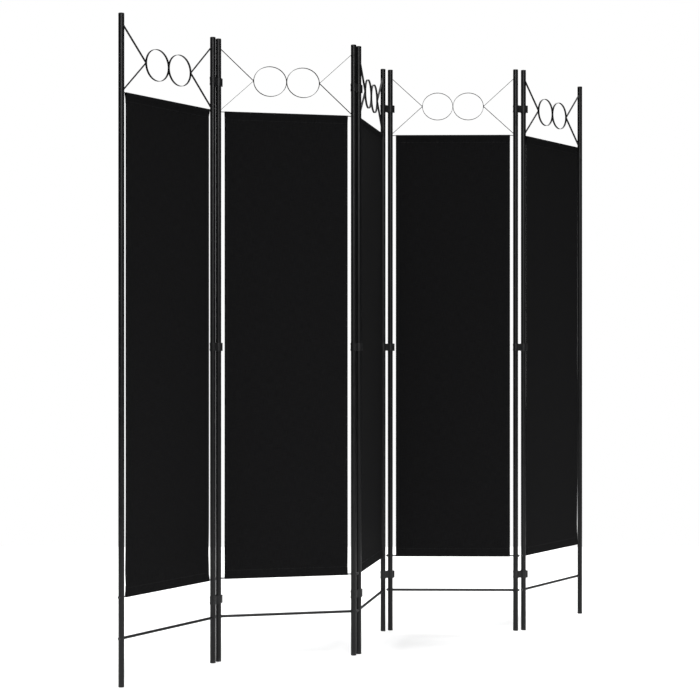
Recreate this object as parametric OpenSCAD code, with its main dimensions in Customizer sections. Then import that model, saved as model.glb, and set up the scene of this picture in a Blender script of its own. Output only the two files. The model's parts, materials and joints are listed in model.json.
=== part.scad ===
// Folding room divider: five fabric panels on round posts, joined by double-acting clip hinges.
// Z is up and the floor is z = 0. Each panel is drawn in its own frame: x runs from its left post
// to its right post, y is across the panel, and both posts stand on y = 0.

/* [Panels] */
// Height of the posts above the floor
screen_h = 1800; // [1500:10:2000]
// Distance between the post centres of one panel
post_pitch = 402; // [360:1:450]
// Outer diameter of a post
post_d = 16; // [14:1:19]
// Wall thickness of a post
post_wall = 0.8; // [0.6:0.1:1.5]

/* [Plan] */
// Direction of panel 1 seen from above, counted from the X axis
panel_1_angle = 57.5; // [0:0.5:90]
// Direction of panel 2
panel_2_angle = 13.5; // [-45:0.5:90]
// Direction of panel 3
panel_3_angle = 78.5; // [0:0.5:90]
// Direction of panel 4
panel_4_angle = -1; // [-45:0.5:90]
// Direction of panel 5
panel_5_angle = 55.5; // [0:0.5:90]
// Direction of the clips between panels 1 and 2
hinge_1_angle = 60; // [0:0.5:90]
// Direction of the clips between panels 2 and 3
hinge_2_angle = 58; // [0:0.5:90]
// Direction of the clips between panels 3 and 4
hinge_3_angle = 34; // [0:0.5:90]
// Direction of the clips between panels 4 and 5
hinge_4_angle = 22.5; // [0:0.5:90]

/* [Hinge clips] */
// Distance between the two posts that a clip joins, centre to centre
hinge_pitch = 28.5; // [26:0.5:36]
// Height of a clip
clip_h = 23.5; // [16:0.5:40]
// Height of the top clip's middle above the floor
clip_top_z = 1674; // [1640:1:1700]
// Height of the middle clip's middle above the floor
clip_middle_z = 909; // [600:1:1200]
// Height of the bottom clip's middle above the floor
clip_bottom_z = 180; // [155:1:210]
// How far the lips of the snap jaw reach from the middle of their post
lip_reach = 13.2; // [12:0.1:17]
// Running clearance between a post and a clip, on the radius
running_gap = 0.06; // [0.02:0.01:0.1]

/* [Bars and strips] */
// Height of the fabric's top rail above the floor
rail_z = 1588.8; // [1560:0.1:1600]
// Height of the fabric's bottom rod above the floor
rod_z = 240; // [230:1:280]
// Height of the cross bar above the floor
bar_z = 130; // [60:1:145]
// Diameter of the bottom rod
rod_d = 4; // [3:0.5:5]
// Diameter of the cross bar
bar_d = 8; // [6:0.5:10]
// Depth of the flat strip, across the panel
strip_depth = 6; // [4:0.5:8]
// Thickness of the flat strip
strip_t = 1.2; // [0.8:0.1:2]

/* [Scroll] */
// Height of the middle of the rings above the floor
ring_z = 1682; // [1660:1:1700]
// Width of one ring, measured outside
ring_w = 98.4; // [80:0.1:110]
// Height of one ring, measured outside
ring_h = 87.6; // [70:0.1:100]
// Height at which the upper arm of a strap meets its post
strap_top_z = 1769; // [1740:1:1785]
// Height at which the lower arm of a strap meets its post
strap_bottom_z = 1596; // [1594:1:1620]

/* [Fabric] */
// Width of the fabric
fabric_w = 366; // [300:1:370]
// Thickness of the doubled cloth
fabric_t = 1.2; // [0.6:0.1:2]
// Depth of the sewn pockets, down from the rail and up from the rod
pocket_h = 22; // [12:1:40]

/* [Fittings] */
// Height of the part of a foot that shows below its post
foot_h = 9; // [4:1:15]
// Height of the part of a plug that shows above its post
plug_h = 2.5; // [1:0.5:6]
// Length of the stem of a foot or plug, inside the post
stem_l = 14; // [8:1:25]
// Width across the flats of a cap nut
nut_af = 7; // [6:0.5:10]
// Height of a cap nut
nut_h = 5.5; // [5:0.5:6]

/* [Hidden] */
PANELS = [1:5];
HINGES = [1:4];
PANEL_PIECES = ["left_post", "right_post", "post_plugs", "feet", "scroll_straps", "scroll_rings",
                "top_rail", "bottom_rod", "cross_bar", "cap_nuts", "fabric"];

$fn = 96;
eps = 0.5;                     // how far a cutter passes the face it opens
steel = [0.10, 0.10, 0.11];
plastic = [0.06, 0.06, 0.065];
cloth = [0.035, 0.035, 0.04];

post_r = post_d / 2;
bore_r = post_r - post_wall;
stud_r = 2;                    // threaded ends of the rod and the bar
hole_r = stud_r + 0.1;
slot_gap = 0.15;               // room round a strip in its slot
strip_end = 4.5;               // how far a strip passes into a post
stud_end = 4;                  // how far a threaded end stands out of a post
rail_t = 1.4;
weld = 0.15;                   // how far welded strips sink into each other
clip_r = post_r + running_gap;

panel_angles = [panel_1_angle, panel_2_angle, panel_3_angle, panel_4_angle, panel_5_angle];
hinge_angles = [hinge_1_angle, hinge_2_angle, hinge_3_angle, hinge_4_angle];
clip_heights = [clip_bottom_z, clip_middle_z, clip_top_z];

function panel_node(i, piece) = str("panel_", i, "_", piece);
function hinge_node(i) = str("hinge_", i, "_clips");
function along(angle) = [cos(angle), sin(angle)];

// Places of the posts in plan, from the left post of panel 1
function left_post_at(i) =
    i == 1 ? [0, 0] : right_post_at(i - 1) + hinge_pitch * along(hinge_angles[i - 2]);
function right_post_at(i) = left_post_at(i) + post_pitch * along(panel_angles[i - 1]);
posts_at = [for (i = PANELS) each [left_post_at(i), right_post_at(i)]];
posts_x = [for (p = posts_at) p.x];
posts_y = [for (p = posts_at) p.y];
plan_middle = [min(posts_x) + max(posts_x), min(posts_y) + max(posts_y)] / 2;

// Puts its children, drawn in a panel's own frame, in place
module on_panel(i) {
    translate(left_post_at(i) - plan_middle)
        rotate(panel_angles[i - 1])
            children();
}

// Puts its children, drawn with x from one post to the next panel's, in place
module on_hinge(i) {
    translate(right_post_at(i) - plan_middle)
        rotate(hinge_angles[i - 1])
            children();
}

// Repeats its children for both posts of a panel, turned so that +x points to the other post
module both_posts() {
    children();
    translate([post_pitch, 0, 0])
        mirror([1, 0, 0])
            children();
}

// A cylinder along x from x = a to x = b
module bar_x(a, b, r) {
    translate([a, 0, 0])
        rotate([0, 90, 0])
            cylinder(r = r, h = b - a);
}

// ---- posts, plugs and feet ----

ring_centre_x = post_pitch / 2 - ring_w / 2 + weld;
strap_bend_r = 1.6;
// The strap's bend just reaches into the ring
strap_bend = [ring_centre_x - ring_w / 2 + weld - strip_t / 2 - strap_bend_r, ring_z];

// Slope of the arm that meets the post at height z and is tangent to the bend
function arm_slope(z) =
    let (run = strap_bend - [post_r, z])
    atan2(abs(run.y), run.x) - asin(strap_bend_r / norm(run));

// End of an arm inside the post, at a distance out from the strap's middle line
function arm_end(z, out) =
    let (side = sign(z - ring_z), slope = arm_slope(z))
    [post_r, z] - strip_end * [cos(slope), -side * sin(slope)] + out * [sin(slope), side * cos(slope)];

// The strap's line at a distance out from its middle, from the upper end round the bend to the lower
function strap_line(out) =
    let (first = 90 - arm_slope(strap_top_z), last = arm_slope(strap_bottom_z) - 90)
    concat([arm_end(strap_top_z, out)],
           [for (k = [0:8]) strap_bend + (strap_bend_r + out) * along(first + (last - first) * k / 8)],
           [arm_end(strap_bottom_z, out)]);

function reversed(list) = [for (k = [len(list) - 1:-1:0]) list[k]];

// One strap: flat strip bent into a V that points at the rings
module strap(gap = 0) {
    half = strip_t / 2 + gap;
    depth = strip_depth + 2 * gap;
    translate([0, depth / 2, 0])
        rotate([90, 0, 0])
            linear_extrude(depth)
                polygon(concat(strap_line(half), reversed(strap_line(-half))));
}

// The fabric's top rail, with both ends in the posts
module rail(gap = 0) {
    start = post_r - strip_end;
    size = [post_pitch - 2 * start, strip_depth + 2 * gap, rail_t + 2 * gap];
    translate([start, -size.y / 2, rail_z - size.z / 2])
        cube(size);
}

// The post at x = 0, with its slots on the +x side and its drillings right through
module post() {
    color(steel)
        difference() {
            translate([0, 0, foot_h])
                cylinder(r = post_r, h = screen_h - plug_h - foot_h);
            cylinder(r = bore_r, h = screen_h + eps);
            for (z = [rod_z, bar_z])
                translate([0, 0, z])
                    bar_x(-post_d, post_d, hole_r);
            strap(slot_gap);
            rail(slot_gap);
        }
}

module left_post() {
    post();
}

module right_post() {
    translate([post_pitch, 0, 0])
        mirror([1, 0, 0])
            post();
}

// A foot: a round cap with a chamfered edge, and a stem that fills the tube
module feet() {
    edge = 0.8;
    color(plastic)
        both_posts()
            rotate_extrude()
                polygon([[0, 0], [post_r - edge, 0], [post_r, edge], [post_r, foot_h],
                         [bore_r, foot_h], [bore_r, foot_h + stem_l], [0, foot_h + stem_l]]);
}

// A plug: a low cap with a rounded edge, and a stem that fills the tube
module post_plugs() {
    round_r = 1.5;
    base = screen_h - plug_h;
    rim = [for (a = [0:15:90]) [post_r - round_r, screen_h - round_r] + round_r * along(a)];
    color(plastic)
        both_posts()
            rotate_extrude()
                polygon(concat([[0, base - stem_l], [bore_r, base - stem_l], [bore_r, base], [post_r, base]],
                               rim, [[0, screen_h]]));
}

// ---- bars and their cap nuts ----

module top_rail() {
    color(steel)
        rail();
}

// Round rod with both ends through the posts
module bottom_rod() {
    reach = post_r + stud_end;
    color(steel)
        translate([0, 0, rod_z])
            bar_x(-reach, post_pitch + reach, rod_d / 2);
}

// Round bar between the posts, with thinner ends that pass through them
module cross_bar() {
    reach = post_r + stud_end;
    color(steel)
        translate([0, 0, bar_z]) {
            bar_x(post_r, post_pitch - post_r, bar_d / 2);
            bar_x(-reach, post_pitch + reach, stud_r);
        }
}

// Low domed nut on the threaded end, at the outer side of the post at x = 0
module cap_nut() {
    hex_h = 2.8;
    dome = [for (a = [0:15:90]) [(nut_af / 2 - 0.3) * cos(a), hex_h + (nut_h - hex_h) * sin(a)]];
    translate([-post_r, 0, 0])
        rotate([0, -90, 0])
            difference() {
                union() {
                    cylinder(r = nut_af / sqrt(3), h = hex_h, $fn = 6);
                    rotate_extrude()
                        polygon(concat([[0, eps], [dome[0].x, eps]], dome));
                }
                translate([0, 0, -eps])
                    cylinder(r = stud_r, h = stud_end + eps);
            }
}

module cap_nuts() {
    color(steel)
        both_posts()
            for (z = [rod_z, bar_z])
                translate([0, 0, z])
                    cap_nut();
}

// ---- scroll work above the fabric ----

module scroll_straps() {
    color(steel)
        both_posts()
            strap();
}

// Outline of an oval at half width a and half height b
function oval(a, b) = [for (t = [0:3:357]) [a * cos(t), b * sin(t)]];

// Two upright oval rings, welded side by side
module scroll_rings() {
    color(steel)
        both_posts()
            translate([ring_centre_x, strip_depth / 2, ring_z])
                rotate([90, 0, 0])
                    linear_extrude(strip_depth)
                        difference() {
                            polygon(oval(ring_w / 2, ring_h / 2));
                            polygon(oval(ring_w / 2 - strip_t, ring_h / 2 - strip_t));
                        }
}

// ---- fabric ----

// The sheet's profile across the panel: a pocket round the rail and a pocket round the rod
module fabric_profile() {
    slack = 0.25;
    half = fabric_t / 2;
    wide = strip_depth / 2 + slack + half;
    top = rail_z + rail_t / 2 + slack + half / 2;
    low_r = rod_d / 2 + slack + half;
    shoulder = top - 2 * fabric_t - rail_t;
    stitch = top - pocket_h;
    difference() {
        union() {
            polygon([[-half, rod_z], [half, rod_z], [half, stitch], [wide, shoulder],
                     [wide, top], [-wide, top], [-wide, shoulder], [-half, stitch]]);
            translate([0, rod_z])
                circle(r = low_r);
            polygon([[-low_r, rod_z], [low_r, rod_z], [half, rod_z + pocket_h], [-half, rod_z + pocket_h]]);
        }
        translate([0, rail_z])
            square([strip_depth, rail_t] + [1, 1] * 2 * slack, center = true);
        translate([0, rod_z])
            circle(r = rod_d / 2 + slack);
    }
}

module fabric() {
    color(cloth)
        translate([(post_pitch - fabric_w) / 2, 0, 0])
            rotate([90, 0, 90])
                linear_extrude(fabric_w)
                    fabric_profile();
}

// ---- hinge clips ----

// Seen from above, a clip is a C-shaped collar round the post at x = 0, a web, and a C-shaped jaw
// with two lips round the post at x = hinge_pitch. Both mouths face outwards, away from the web.
collar_t = 0.7;
rib_t = 1.2;
rib_h = 5;
rib_inset = 1;
collar_mouth = 47;             // half the angle of the collar's mouth
jaw_t = 1.4;
lip_half_gap = 4.5;
web_t = 8;
web_dip = 0.9;                 // how far the web's edges are hollowed
web_dip_r = 60;

module collar_plan(t) {
    far = post_d * 1.5;
    difference() {
        circle(r = clip_r + t);
        polygon([[0, 0], far * along(180 - collar_mouth), far * along(180 + collar_mouth)]);
    }
}

module jaw_plan() {
    tip_r = jaw_t / 2;
    difference() {
        union() {
            circle(r = clip_r + jaw_t);
            for (side = [-1, 1])
                translate([0, side * (lip_half_gap + tip_r)]) {
                    translate([0, -tip_r])
                        square([lip_reach - tip_r, jaw_t]);
                    translate([lip_reach - tip_r, 0])
                        circle(r = tip_r);
                }
        }
        translate([0, -lip_half_gap])
            square([lip_reach + eps, 2 * lip_half_gap]);
    }
}

// The web between the posts, with shallow hollows in its top and bottom edges
module web() {
    difference() {
        translate([clip_r - jaw_t, -web_t / 2, 0])
            cube([hinge_pitch - 2 * clip_r + 2 * jaw_t, web_t, clip_h]);
        for (z = [web_dip - web_dip_r, clip_h - web_dip + web_dip_r])
            translate([hinge_pitch / 2, web_t, z])
                rotate([90, 0, 0])
                    cylinder(r = web_dip_r, h = 2 * web_t);
    }
}

module clip() {
    jaw_at = [hinge_pitch, 0, 0];
    difference() {
        union() {
            linear_extrude(clip_h)
                collar_plan(collar_t);
            for (z = [rib_inset, clip_h - rib_h - rib_inset])
                translate([0, 0, z])
                    linear_extrude(rib_h)
                        collar_plan(rib_t);
            translate(jaw_at)
                linear_extrude(clip_h)
                    jaw_plan();
            web();
        }
        for (at = [[0, 0, 0], jaw_at])
            translate(at - [0, 0, eps])
                cylinder(r = clip_r, h = clip_h + 2 * eps);
    }
}

module clips() {
    color(plastic)
        for (z = clip_heights)
            translate([0, 0, z - clip_h / 2])
                clip();
}

// ---- the whole screen ----

module panel_piece(piece) {
    if (piece == "left_post") left_post();
    if (piece == "right_post") right_post();
    if (piece == "post_plugs") post_plugs();
    if (piece == "feet") feet();
    if (piece == "scroll_straps") scroll_straps();
    if (piece == "scroll_rings") scroll_rings();
    if (piece == "top_rail") top_rail();
    if (piece == "bottom_rod") bottom_rod();
    if (piece == "cross_bar") cross_bar();
    if (piece == "cap_nuts") cap_nuts();
    if (piece == "fabric") fabric();
}

for (i = PANELS)
    for (piece = PANEL_PIECES)
        on_panel(i) panel_piece(piece);
for (i = HINGES)
    on_hinge(i) clips();
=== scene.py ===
"""Looks for a folding room divider: five black cloth panels on slim posts, joined by clip hinges."""

import json
import math

import bpy
import numpy as np
from mathutils import Matrix, Vector


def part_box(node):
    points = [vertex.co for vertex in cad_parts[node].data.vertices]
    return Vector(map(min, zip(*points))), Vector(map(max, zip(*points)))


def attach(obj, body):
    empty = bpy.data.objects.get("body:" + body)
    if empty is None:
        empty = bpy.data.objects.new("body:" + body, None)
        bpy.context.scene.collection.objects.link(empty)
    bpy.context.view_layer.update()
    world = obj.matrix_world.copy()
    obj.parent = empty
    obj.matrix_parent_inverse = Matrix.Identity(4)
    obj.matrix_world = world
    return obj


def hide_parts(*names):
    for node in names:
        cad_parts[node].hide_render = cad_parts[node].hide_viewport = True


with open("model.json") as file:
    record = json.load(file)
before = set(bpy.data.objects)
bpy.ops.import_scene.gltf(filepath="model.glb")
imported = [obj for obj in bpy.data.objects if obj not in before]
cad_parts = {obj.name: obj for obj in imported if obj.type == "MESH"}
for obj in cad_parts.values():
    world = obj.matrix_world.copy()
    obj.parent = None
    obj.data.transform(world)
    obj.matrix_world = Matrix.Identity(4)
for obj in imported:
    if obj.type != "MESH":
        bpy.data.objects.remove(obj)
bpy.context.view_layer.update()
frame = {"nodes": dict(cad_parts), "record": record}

PANELS = range(1, 6)
NODES = frame["nodes"]


# ---- camera and stage ----

EYE_HEIGHT = 0.9            # level with the middle of the screen
EYE_ASIDE = -0.0874         # to the left of the middle
EYE_DISTANCE = 4.993        # from the middle of the screen's plan
LENS = 84.36                # on a 36 mm sensor
FLOOR_SIZE = 5
OVERHEAD, KEY, FILL, BEHIND = 5.4, 64, 70, 90    # the first in W/m2, the others in W
OVERHEAD_SPREAD = 50        # degrees
AMBIENT = 0.04              # of the backdrop's brightness, for light and reflections


def add_camera():
    data = bpy.data.cameras.new("camera")
    data.sensor_width = 36
    data.lens = LENS
    camera = bpy.data.objects.new("camera", data)
    bpy.context.scene.collection.objects.link(camera)
    camera.location = (EYE_ASIDE, -EYE_DISTANCE, EYE_HEIGHT)
    camera.rotation_euler = (math.pi / 2, 0, 0)
    bpy.context.scene.camera = camera


def add_area_light(name, place, target, size, power):
    data = bpy.data.lights.new(name, "AREA")
    data.shape = "RECTANGLE"
    data.size, data.size_y = size
    data.energy = power
    light = bpy.data.objects.new(name, data)
    bpy.context.scene.collection.objects.link(light)
    light.location = place
    light.rotation_euler = (Vector(target) - Vector(place)).to_track_quat("-Z", "Y").to_euler()


def add_world():
    """A plain white backdrop for the eye, and a dimmer one for light and reflections."""
    world = bpy.data.worlds.new("studio")
    bpy.context.scene.world = world
    world.use_nodes = True
    nodes, links = world.node_tree.nodes, world.node_tree.links
    nodes.clear()
    out = nodes.new("ShaderNodeOutputWorld")
    mix = nodes.new("ShaderNodeMixShader")
    seen, unseen = nodes.new("ShaderNodeBackground"), nodes.new("ShaderNodeBackground")
    path = nodes.new("ShaderNodeLightPath")
    seen.inputs["Color"].default_value = (1, 1, 1, 1)
    unseen.inputs["Color"].default_value = (0.9, 0.95, 1, 1)
    unseen.inputs["Strength"].default_value = AMBIENT
    links.new(path.outputs["Is Camera Ray"], mix.inputs[0])
    links.new(unseen.outputs[0], mix.inputs[1])
    links.new(seen.outputs[0], mix.inputs[2])
    links.new(mix.outputs[0], out.inputs[0])


def add_floor():
    bpy.ops.mesh.primitive_plane_add(size=FLOOR_SIZE, location=(0, 0, 0))
    floor = bpy.context.object
    floor.name = "floor"
    material = bpy.data.materials.new("floor_white")
    material.use_nodes = True
    shader = material.node_tree.nodes["Principled BSDF"]
    shader.inputs["Base Color"].default_value = (0.8, 0.8, 0.8, 1)
    shader.inputs["Roughness"].default_value = 0.9
    shader.inputs["Specular IOR Level"].default_value = 0.1
    floor.data.materials.append(material)


def add_overhead_light():
    """An even soft light from straight above, which keeps the whole floor pale."""
    data = bpy.data.lights.new("overhead", "SUN")
    data.energy = OVERHEAD
    data.angle = math.radians(OVERHEAD_SPREAD)
    light = bpy.data.objects.new("overhead", data)
    bpy.context.scene.collection.objects.link(light)
    light.location = (0, 0, 5)


def add_stage():
    add_world()
    add_floor()
    add_overhead_light()
    add_area_light("key", (1.0, -4.8, 2.3), (0, 0, 1.3), (0.8, 1.4), KEY)
    add_area_light("fill", (-0.8, -5.4, 3.4), (0, 0, 0.9), (3.0, 1.6), FILL)
    add_area_light("behind", (0.6, 3.8, 4.4), (0, 0, 0.9), (3.0, 1.6), BEHIND)
    bpy.context.scene.view_settings.view_transform = "Standard"


# ---- materials ----

class Shader:
    """A material under construction: its Principled node, and short ways to add the nodes round it."""

    def __init__(self, name):
        self.material = bpy.data.materials.new(name)
        self.material.use_nodes = True
        self.tree = self.material.node_tree
        self.main = self.tree.nodes["Principled BSDF"]

    def node(self, kind, **inputs):
        made = self.tree.nodes.new(kind)
        for name, value in inputs.items():
            self.put(made.inputs[name.replace("_", " ")], value)
        return made

    def put(self, socket, value):
        if isinstance(value, bpy.types.NodeSocket):
            self.tree.links.new(value, socket)
        else:
            socket.default_value = value

    def set(self, **inputs):
        for name, value in inputs.items():
            self.put(self.main.inputs[name.replace("_", " ")], value)

    def place(self):
        """Position on the object in metres, which is the same in every view."""
        return self.node("ShaderNodeTexCoord").outputs["Object"]

    def noise(self, scale, detail=2.0, roughness=0.5, vector=None):
        made = self.node("ShaderNodeTexNoise", Scale=scale, Detail=detail, Roughness=roughness)
        self.put(made.inputs["Vector"], vector or self.place())
        return made.outputs["Fac"]

    def ramp(self, value, stops):
        """Maps a number through stops, (position, colour or grey) each."""
        made = self.node("ShaderNodeValToRGB", Fac=value)
        points = made.color_ramp.elements
        for point, (position, tone) in zip(points, (stops[0], stops[-1])):
            point.position = position
            point.color = tone if hasattr(tone, "__len__") else (tone, tone, tone, 1)
        for position, tone in stops[1:-1]:
            point = points.new(position)
            point.color = tone if hasattr(tone, "__len__") else (tone, tone, tone, 1)
        return made.outputs["Color"]

    def math(self, operation, a, b):
        made = self.node("ShaderNodeMath")
        made.operation = operation
        self.put(made.inputs[0], a)
        self.put(made.inputs[1], b)
        return made.outputs[0]

    def rounded(self, radius):
        """A normal that rounds the edges, as paint and moulds do."""
        return self.node("ShaderNodeBevel", Radius=radius).outputs["Normal"]

    def bump(self, height, distance, strength=1.0, normal=None):
        made = self.node("ShaderNodeBump", Height=height, Distance=distance, Strength=strength)
        if normal is not None:
            self.put(made.inputs["Normal"], normal)
        return made.outputs["Normal"]


def powder_coat(name, rough, shine, edge):
    """Satin black powder coat: a fine orange peel, specks of coarser powder, and softened edges."""
    s = Shader(name)
    peel = s.noise(900, detail=3)
    specks = s.ramp(s.noise(2600, detail=1), [(0.62, 0.0), (0.74, 1.0)])
    drift = s.noise(7, detail=3)
    s.set(
        Base_Color=s.ramp(drift, [(0.3, (0.0036, 0.0036, 0.0039, 1)), (0.7, (0.0056, 0.0056, 0.0060, 1))]),
        Roughness=s.ramp(s.noise(60, detail=4), [(0.3, rough - 0.05), (0.7, rough + 0.05)]),
        Normal=s.bump(specks, 0.00002, normal=s.bump(peel, 0.00006, normal=s.rounded(edge))),
        Specular_IOR_Level=shine,
    )
    return s.material


def nut_finish():
    """Black plated steel, smoother and a little lighter than the posts."""
    s = Shader("black_plated_steel")
    s.set(
        Base_Color=s.ramp(s.noise(300), [(0.3, (0.012, 0.012, 0.013, 1)), (0.7, (0.022, 0.022, 0.024, 1))]),
        Roughness=s.ramp(s.noise(1500, detail=4), [(0.3, 0.18), (0.7, 0.3)]),
        Normal=s.bump(s.noise(2200, detail=2), 0.00001, normal=s.rounded(0.00025)),
        Specular_IOR_Level=0.6,
    )
    return s.material


def moulded_plastic(name, rough):
    """Black moulded nylon with a fine spark-eroded texture and faint flow marks."""
    s = Shader(name)
    grain = s.noise(3000, detail=2, roughness=0.6)
    flow = s.noise(120, detail=3)
    s.set(
        Base_Color=s.ramp(flow, [(0.3, (0.0085, 0.0085, 0.009, 1)), (0.7, (0.0125, 0.0125, 0.013, 1))]),
        Roughness=s.ramp(s.noise(400, detail=3), [(0.3, rough - 0.06), (0.7, rough + 0.06)]),
        Normal=s.bump(flow, 0.00008, 0.5, normal=s.bump(grain, 0.00003, normal=s.rounded(0.0003))),
        Specular_IOR_Level=0.3,
    )
    return s.material


THREAD_PITCH = 0.00062      # one warp or weft thread of the cloth
GATHER_REACH = 0.009        # how far from a seam its stitches draw the cloth in
CREASE_REACH = 0.09         # how far from a pocket seam its creases run
SEAM_DENT = 0.0012          # how far from a seam the cloth dips under the thread


def woven_cloth():
    """Black polyester plain weave: crossing threads, slubs along both, a little sheen, and the
    gathers, creases and dents of the seams. The colour carries painted shade, darker in the hollows between
    crossing threads. It is mapped in metres on the flat cut."""
    s = Shader("black_cloth")
    cut_map = s.node("ShaderNodeUVMap")
    cut_map.uv_map = "cut"
    flat = cut_map.outputs["UV"]
    turns = math.pi / THREAD_PITCH
    split = s.node("ShaderNodeSeparateXYZ", Vector=flat)
    across, along = split.outputs["X"], split.outputs["Y"]
    warp = s.math("SINE", s.math("MULTIPLY", across, turns), 0.0)
    weft = s.math("SINE", s.math("MULTIPLY", along, turns), 0.0)
    over = s.math("MULTIPLY", warp, weft)
    crossing = s.math("ABSOLUTE", over, 0.0)
    height = s.math("ADD", crossing, s.math("MULTIPLY", over, 0.4))

    def stretched_noise(stretch, detail):
        mapped = s.node("ShaderNodeMapping", Vector=flat)
        mapped.inputs["Scale"].default_value = stretch
        return s.noise(1.0, detail=detail, vector=mapped.outputs["Vector"])

    def near(distance, reach):
        """1 on a seam, fading to 0 at reach from it."""
        closeness = s.math("MAXIMUM", s.math("SUBTRACT", 1.0, s.math("DIVIDE", distance, reach)), 0.0)
        return s.math("MULTIPLY", closeness, closeness)

    def gathers(seam, run, wander):
        """The cloth drawn in a little by each stitch, either side of a seam."""
        turn = s.math("MULTIPLY", run, 2 * math.pi / STITCH_PITCH)
        phase = s.math("ADD", turn, s.math("MULTIPLY", wander, 4.0))
        return s.math("MULTIPLY", s.math("SINE", phase, 0.0), near(seam, GATHER_REACH))

    seams, width = seam_marks()
    to_pocket = 1.0
    for mark in seams:
        to_mark = s.math("ABSOLUTE", s.math("SUBTRACT", along, mark), 0.0)
        to_pocket = s.math("MINIMUM", to_pocket, to_mark)
    from_middle = s.math("ABSOLUTE", s.math("SUBTRACT", across, width / 2), 0.0)
    to_hem = s.math("ABSOLUTE", s.math("SUBTRACT", from_middle, width / 2 - 2 * HEM + HEM_STITCH), 0.0)
    creases = s.math("MULTIPLY", stretched_noise((150, 9, 1), 2), near(to_pocket, CREASE_REACH))
    wander = s.noise(160, detail=1, vector=flat)
    drawn = s.math("ADD", gathers(to_pocket, across, wander), gathers(to_hem, along, wander))
    sunk = s.math("ADD", near(to_pocket, SEAM_DENT), near(to_hem, SEAM_DENT))

    streak = s.math("ADD", stretched_noise((1400, 45, 1), 3), stretched_noise((45, 1400, 1), 3))
    # tone is the slubs' own streaks plus painted shade from the weave's height: raised threads lighter, the
    # hollows between them darker
    tone = s.math("ADD", s.math("MULTIPLY", streak, 0.5), s.math("MULTIPLY", height, 0.12))
    shape = s.bump(sunk, -0.0002, normal=s.bump(drawn, 0.00022, normal=s.bump(creases, 0.0016)))
    s.set(
        Base_Color=s.ramp(tone, [(0.38, (0.0032, 0.0032, 0.0034, 1)), (0.72, (0.0108, 0.0108, 0.0112, 1))]),
        Roughness=s.ramp(streak, [(0.6, 0.82), (1.2, 0.95)]),
        Normal=s.bump(height, 0.00012, 0.8, normal=s.bump(streak, 0.0001, 0.6, normal=shape)),
        Specular_IOR_Level=0.03,
        Sheen_Weight=0.006,
        Sheen_Roughness=0.5,
    )
    return s.material


def sewing_thread():
    """Black polyester thread, a little lighter and glossier than the cloth."""
    s = Shader("black_thread")
    s.set(
        Base_Color=s.ramp(s.noise(1800), [(0.3, (0.008, 0.008, 0.0085, 1)), (0.7, (0.016, 0.016, 0.017, 1))]),
        Roughness=s.ramp(s.noise(900), [(0.3, 0.5), (0.7, 0.65)]),
        Specular_IOR_Level=0.35,
    )
    return s.material


# ---- the pieces ----

PITCH = 0.402               # between the post centres of a panel
RING_Z = 1.682
STRAP_WELD_X = 0.10245      # where the left strap meets its ring
WELD_RISE = 0.0026          # of a bead above or below the middle of the rings
WELD_HALF = (0.0011, 0.003, 0.0015)     # half a bead's width, length and height
WELD_END = 0.0029           # from a bead's middle to its small flat ends
RAIL_Z, RAIL_DEPTH, RAIL_T = 1.5888, 0.006, 0.0014
ROD_Z, ROD_R = 0.240, 0.002
CLOTH_LEFT, CLOTH_RIGHT = 0.018, 0.384
CLOTH_T = 0.0004
LAYER = 0.00045             # from the middle of one layer to the middle of the next
HEM = 0.010                 # turned to the back down both sides
RAIL_SLACK = 0.0008         # from the rail to the middle of the layer round it
ROD_SLACK = 0.0009          # from the rod to the middle of the layer round it
POCKET = 0.021              # from the rail's or rod's middle to the seam that closes its pocket
FLAP = 0.006                # of cloth past that seam
TOP_SEAM, BOTTOM_SEAM = RAIL_Z - POCKET, ROD_Z + POCKET
STITCH_PITCH, STITCH_LENGTH = 0.0042, 0.0031
HEM_STITCH = 0.0018         # how far short of the hem's width its stitches run
SEAM_STITCH = 0.001         # from a pocket seam to its stitches
SEAM_END = 0.001            # from a side of the sheet to where a pocket seam's stitching starts
FLAP_GAP = 0.002            # from a flap's cut edge to where a hem's stitching behind starts
THREAD_R = 0.00022
SETTLE_FRAMES = 30
GRID = (31, 107)            # points of the coarse sheet that is simulated, across and down
TRIAL_STEP = 0.6            # from one simulated sheet to the next
RIPPLE = 0.0012             # scale of the ripples that the simulation starts from
WAVE = 0.0018               # how far the largest wave stands off the flat
WAVE_FADE = 0.05            # from a seam to where the waves have their full size


def ease(t):
    t = np.clip(t, 0, 1)
    return t * t * (3 - 2 * t)


def panel_frame(i):
    """Places a panel's own frame: x from its left post to its right, y across it, z up."""
    left, right = (sum(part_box(f"panel_{i}_{side}_post"), Vector()) / 2 for side in ("left", "right"))
    turn = math.atan2(right.y - left.y, right.x - left.x)
    return Matrix.Translation((left.x, left.y, 0)) @ Matrix.Rotation(turn, 4, "Z")


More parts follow.
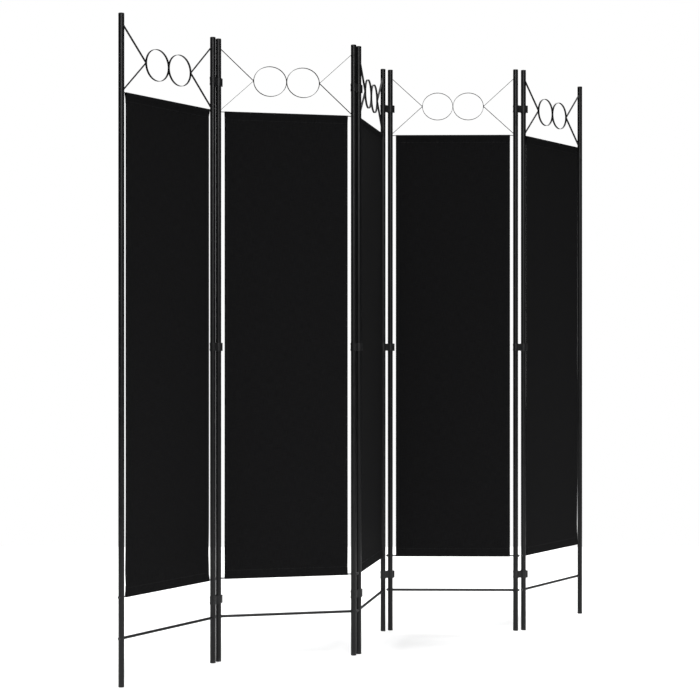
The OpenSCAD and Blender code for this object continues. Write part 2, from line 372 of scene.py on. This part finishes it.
def cloth_path():
    """The sheet's run in the (y, z) plane, from the end of the top flap behind, over the rail, down
    the front and under the rod, to the end of the bottom flap. Rows of y, z and share of stand-off."""
    rail_y, rail_z, rod_r = RAIL_DEPTH / 2 + RAIL_SLACK, RAIL_T / 2 + RAIL_SLACK, ROD_R + ROD_SLACK
    rise = np.linspace(0, 1, 8)
    half_turn = np.linspace(0, math.pi, 14)[1:-1]

    def leg(seam, middle, y, share):
        return [(y * ease(t), seam + (middle - seam) * t, share * (1 - t)) for t in rise]

    over = [(rail_y * math.copysign(abs(math.cos(a)) ** 0.45, math.cos(a)),
             RAIL_Z + rail_z * math.sin(a) ** 0.6, 0) for a in half_turn]
    under = [(-rod_r * math.cos(a), ROD_Z - rod_r * math.sin(a), 0) for a in half_turn]
    main = [(0, z, 0) for z in np.linspace(TOP_SEAM, BOTTOM_SEAM, 128)[1:-1]]
    return np.array(
        [(0, TOP_SEAM - FLAP * k / 3, 1) for k in (3, 2, 1)]
        + leg(TOP_SEAM, RAIL_Z, rail_y, 1) + over + leg(TOP_SEAM, RAIL_Z, -rail_y, 0)[::-1]
        + main
        + leg(BOTTOM_SEAM, ROD_Z, -rod_r, 0) + under + leg(BOTTOM_SEAM, ROD_Z, rod_r, 1)[::-1]
        + [(0, BOTTOM_SEAM + FLAP * k / 3, 1) for k in (1, 2, 3)])


def cloth_columns():
    """The sheet from side to side, with both hems turned in. Rows of distance along the cut, x, and
    offset to the inner side."""
    r = LAYER / 2
    hem = [(HEM - d, CLOTH_LEFT + r + d, LAYER) for d in np.linspace(HEM, 0, 6)]
    fold = [(HEM + r * a, CLOTH_LEFT + r - r * math.sin(a), r + r * math.cos(a))
            for a in np.linspace(0, math.pi, 5)[1:-1]]
    start, width = HEM + math.pi * r, CLOTH_RIGHT - CLOTH_LEFT - 2 * r
    near = [0, 0.003, 0.007, 0.0105, 0.014, 0.019]
    steps = near + list(np.linspace(0.029, width - 0.029, 32)) + [width - d for d in near[::-1]]
    main = [(start + d, CLOTH_LEFT + r + d, 0) for d in steps]
    total = 2 * start + width
    other = [(total - u, CLOTH_LEFT + CLOTH_RIGHT - x, offset) for u, x, offset in (hem + fold)[::-1]]
    return np.array(hem + fold + main + other)


def seam_marks():
    """Where the pocket seams are along the cut, and how wide the cut is."""
    path = cloth_path()
    on_seam = (path[:, 0] == 0) & np.isin(path[:, 1], (TOP_SEAM, BOTTOM_SEAM))
    return [float(v) for v in path_run(path)[on_seam]], float(cloth_columns()[-1, 0])


def path_run(path):
    """Distance along the cut at each row of the path."""
    return np.concatenate([[0], np.cumsum(np.hypot(*np.diff(path[:, :2], axis=0).T))])


def stand_off(x):
    """How far a flap's middle stands behind the sheet's: clear of it, and of both hems at the sides."""
    from_side = np.minimum(x - CLOTH_LEFT, CLOTH_RIGHT - x)
    return LAYER * (1.1 + 2 * ease((HEM + 0.009 - from_side) / 0.008))


def sheet_waves():
    """How each sheet waves, as GRID arrays of y: the cloth, a little long for its seams, is let fall
    from seeded ripples. The waves are then scaled, and fade out at the two seams."""
    columns, rows = GRID
    width, height = CLOTH_RIGHT - CLOTH_LEFT, TOP_SEAM - BOTTOM_SEAM
    rng = np.random.default_rng(11)
    x, z = np.meshgrid(np.linspace(0, width, columns), np.linspace(TOP_SEAM, BOTTOM_SEAM, rows))

    def ripple(k, m):
        strength = rng.normal() / k
        sideways = np.cos(k * math.pi * x / width + rng.uniform(0, 6))
        return strength * sideways * np.cos(m * z * 2 + rng.uniform(0, 6))

    shapes = []
    for _ in PANELS:
        ripples = sum(ripple(k, m) for k in (1, 2, 3, 5) for m in (1, 2, 3))
        shapes.append(RIPPLE * ripples * np.sin(math.pi * (z - BOTTOM_SEAM) / height))
    shapes = settle(x, z, shapes)
    fade = ease((TOP_SEAM - z) / WAVE_FADE) * ease((z - BOTTOM_SEAM) / WAVE_FADE)
    return [WAVE * shape / np.abs(shape * fade).max() * fade for shape in shapes]


def grid_faces(columns, rows, base=0):
    """The quads of a grid of points that runs row by row from vertex base."""
    return [(k, k + 1, k + columns + 1, k + columns)
            for r in range(rows - 1) for k in range(base + r * columns, base + (r + 1) * columns - 1)]


def settle(x, z, shapes):
    """Runs one cloth simulation of all five sheets side by side, and returns their y."""
    columns, rows = GRID
    mesh = bpy.data.meshes.new("trial")
    verts, faces = [], []
    for i, y in enumerate(shapes):
        faces += grid_faces(columns, rows, len(verts))
        verts += [tuple(p) for p in np.stack([x + TRIAL_STEP * i, y, z], -1).reshape(-1, 3)]
    mesh.from_pydata(verts, [], faces)
    trial = bpy.data.objects.new("trial", mesh)
    bpy.context.scene.collection.objects.link(trial)
    pins = trial.vertex_groups.new(name="pins")
    pins.add([k for k in range(len(verts)) if k // columns % rows in (0, rows - 1)], 1.0, "REPLACE")
    cloth = trial.modifiers.new("cloth", "CLOTH")
    cloth.point_cache.frame_end = SETTLE_FRAMES
    made = cloth.settings
    made.quality = 5
    made.mass = 0.15
    made.air_damping = 2
    made.tension_stiffness = made.compression_stiffness = 40
    made.shear_stiffness = 20
    made.bending_stiffness = 0.6
    made.vertex_group_mass = "pins"
    made.shrink_min = -0.0015
    made.effector_weights.gravity = 0.3
    for k in range(1, SETTLE_FRAMES + 1):
        bpy.context.scene.frame_set(k)
    settled = trial.evaluated_get(bpy.context.evaluated_depsgraph_get())
    co = np.empty(len(verts) * 3, np.float32)
    settled.data.vertices.foreach_get("co", co)
    bpy.data.objects.remove(trial)
    bpy.context.scene.frame_set(1)
    return list(co.reshape(len(shapes), rows, columns, 3)[..., 1].astype(float))


def wave_at(waves, x, z):
    """Reads a GRID array of waves at points, evenly between its nodes."""
    columns, rows = GRID
    c = np.clip((x - CLOTH_LEFT) / (CLOTH_RIGHT - CLOTH_LEFT), 0, 1) * (columns - 1)
    r = np.clip((TOP_SEAM - z) / (TOP_SEAM - BOTTOM_SEAM), 0, 1) * (rows - 1)
    c0, r0 = np.minimum(c.astype(int), columns - 2), np.minimum(r.astype(int), rows - 2)
    a, b = ease(c - c0), ease(r - r0)
    return ((waves[r0, c0] * (1 - a) + waves[r0, c0 + 1] * a) * (1 - b)
            + (waves[r0 + 1, c0] * (1 - a) + waves[r0 + 1, c0 + 1] * a) * b)


def new_piece(name, verts, faces, material, place):
    mesh = bpy.data.meshes.new(name)
    mesh.from_pydata([tuple(v) for v in verts], [], faces)
    mesh.transform(place)
    mesh.materials.append(material)
    mesh.shade_smooth()
    piece = bpy.data.objects.new(name, mesh)
    bpy.context.scene.collection.objects.link(piece)
    return piece


def add_cloth(i, waves):
    """One panel's sheet: a single cut length with a pocket round the rail, one round the rod, and
    a hem down each side, all turned to the back."""
    path, columns = cloth_path(), cloth_columns()
    run = path_run(path)
    ahead = np.gradient(path[:, :2], axis=0)
    ahead /= np.linalg.norm(ahead, axis=1, keepdims=True)
    u, x, offset = (column[None, :] for column in columns.T)
    y, z, share = (row[:, None] for row in path.T)
    wave = wave_at(waves, x + 0 * z, z + 0 * x) * (share == 0)
    across = y + share * stand_off(x) - offset * ahead[:, 1:] + wave
    up = z + offset * ahead[:, :1]
    verts = np.stack([x + 0 * z, across, up], -1).reshape(-1, 3)
    faces = grid_faces(len(columns), len(path))
    cloth = new_piece(f"panel_{i}_cloth", verts, faces, CLOTH, panel_frame(i))
    cut = np.stack([u + 0 * z, run[:, None] + 0 * x], -1).reshape(-1, 2)
    corners = np.empty(len(cloth.data.loops), np.int32)
    cloth.data.loops.foreach_get("vertex_index", corners)
    cloth.data.uv_layers.new(name="cut").data.foreach_set("uv", cut[corners].ravel().astype(np.float32))
    thick = cloth.modifiers.new("thickness", "SOLIDIFY")
    thick.thickness = CLOTH_T
    thick.offset = 0
    return cloth, (float(columns[-1, 0]), float(run[-1]))


def add_stitches(i, waves):
    """Every stitch of the two pocket seams and the two side hems, on the front and on the back. Each
    is a three-sided thread whose thin ends dive into the cloth."""
    points = []
    sections = ((-0.5, 0.35, -0.6), (-0.3, 1, 0.5), (0.3, 1, 0.5), (0.5, 0.35, -0.6))
    corners = ((-1, 0), (0, 1), (1, 0))
    per_stitch = len(sections) * len(corners)

    def row(start, end, back):
        """Stitches from start to end, at the front or, where back gives the layer's y, at the back."""
        start, end = np.array(start), np.array(end)
        length = np.linalg.norm(end - start)
        way = (end - start) / length
        side = np.array([way[1], -way[0]])
        for at in np.arange(STITCH_PITCH / 2, length, STITCH_PITCH):
            middle = start + way * at
            for reach, width, rise in sections:
                spot = middle + way * reach * STITCH_LENGTH
                y = float(wave_at(waves, *(np.array([v]) for v in spot))[0])
                y += back(spot[0]) + CLOTH_T / 2 if back else -CLOTH_T / 2
                out = 1 if back else -1
                for edge, lift in corners:
                    p = spot + side * edge * width * THREAD_R
                    points.append((p[0], y + out * THREAD_R * (rise + lift * 0.9), p[1]))

    for z in (TOP_SEAM - SEAM_STITCH, BOTTOM_SEAM + SEAM_STITCH):
        for back in (None, stand_off):
            row((CLOTH_LEFT + SEAM_END, z), (CLOTH_RIGHT - SEAM_END, z), back)
    for x in (CLOTH_LEFT + HEM - HEM_STITCH, CLOTH_RIGHT - HEM + HEM_STITCH):
        row((x, TOP_SEAM - FLAP), (x, BOTTOM_SEAM + FLAP), None)
        row((x, TOP_SEAM - FLAP - FLAP_GAP), (x, BOTTOM_SEAM + FLAP + FLAP_GAP), lambda _: LAYER)
    faces = []
    for base in range(0, len(points), per_stitch):
        last = base + per_stitch - 1
        for k in range(base, last - 2, 3):
            faces += [(a, a + 1, a + 4, a + 3) for a in (k, k + 1)]
        faces += [(base, base + 1, base + 2), (last, last - 1, last - 2)]
    return new_piece(f"panel_{i}_stitches", points, faces, THREAD, panel_frame(i))


def add_welds(i, rng):
    """Small rippled beads above and below each place where a ring meets a strap or the other ring."""
    verts, faces = [], []
    half_x, half_y, half_z = WELD_HALF
    around, slices = 12, 15
    turns = np.linspace(0, 2 * math.pi, around, endpoint=False)
    for x in (STRAP_WELD_X, PITCH / 2, PITCH - STRAP_WELD_X):
        for side in (-1, 1):
            base, size = len(verts), rng.uniform(0.85, 1.15, 2)
            middle = RING_Z + side * WELD_RISE
            for y in np.linspace(-WELD_END, WELD_END, slices):
                girth = math.sqrt(1 - (y / half_y) ** 2) * (1 + 0.06 * math.cos(y * 9000))
                wide, high = half_x * size[0] * girth, half_z * size[1] * girth
                verts += [(x + wide * math.cos(a), y, middle + high * math.sin(a)) for a in turns]
            for k in range(base, base + around * (slices - 1), around):
                faces += [(k + c, k + (c + 1) % around, k + around + (c + 1) % around, k + around + c)
                          for c in range(around)]
            last = base + around * slices - 1
            faces += [tuple(range(base, base + around)), tuple(range(last, last - around, -1))]
    welds = new_piece(f"panel_{i}_welds", verts, faces, STRIP_COAT, panel_frame(i))
    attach(welds, f"panel_{i}")


def finish_cad_nodes():
    """Gives every CAD node the material of its slot. The thin strips take a duller coat."""
    for part in frame["record"]["subparts"]:
        name = part["node"]
        strip = name.endswith(("scroll_rings", "scroll_straps", "top_rail"))
        NODES[name].data.materials.clear()
        NODES[name].data.materials.append(STRIP_COAT if strip else SLOT_MATERIALS[part["material_slot"]])


def add_all_cloth():
    """The five sheets with their stitches, in place of the CAD fabrics."""
    for i, waves in zip(PANELS, sheet_waves()):
        cloth, cut = add_cloth(i, waves)
        stitches = add_stitches(i, waves)
        for piece in (cloth, stitches):
            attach(piece, f"panel_{i}")
        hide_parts(f"panel_{i}_fabric")


# ---- the whole ----

add_camera()
add_stage()

STRIP_COAT = powder_coat("strip_coat", rough=0.5, shine=0.10, edge=0.00025)
CLOTH = woven_cloth()
THREAD = sewing_thread()
SLOT_MATERIALS = {
    "frame_coat": powder_coat("powder_coat", rough=0.36, shine=0.26, edge=0.0001),
    "nut_coat": nut_finish(),
    "clip_plastic": moulded_plastic("clip_nylon", rough=0.42),
    "plug_plastic": moulded_plastic("plug_nylon", rough=0.55),
    "cloth": CLOTH,
}

finish_cad_nodes()
add_all_cloth()
weld_sizes = np.random.default_rng(5)
for panel in PANELS:
    add_welds(panel, weld_sizes)
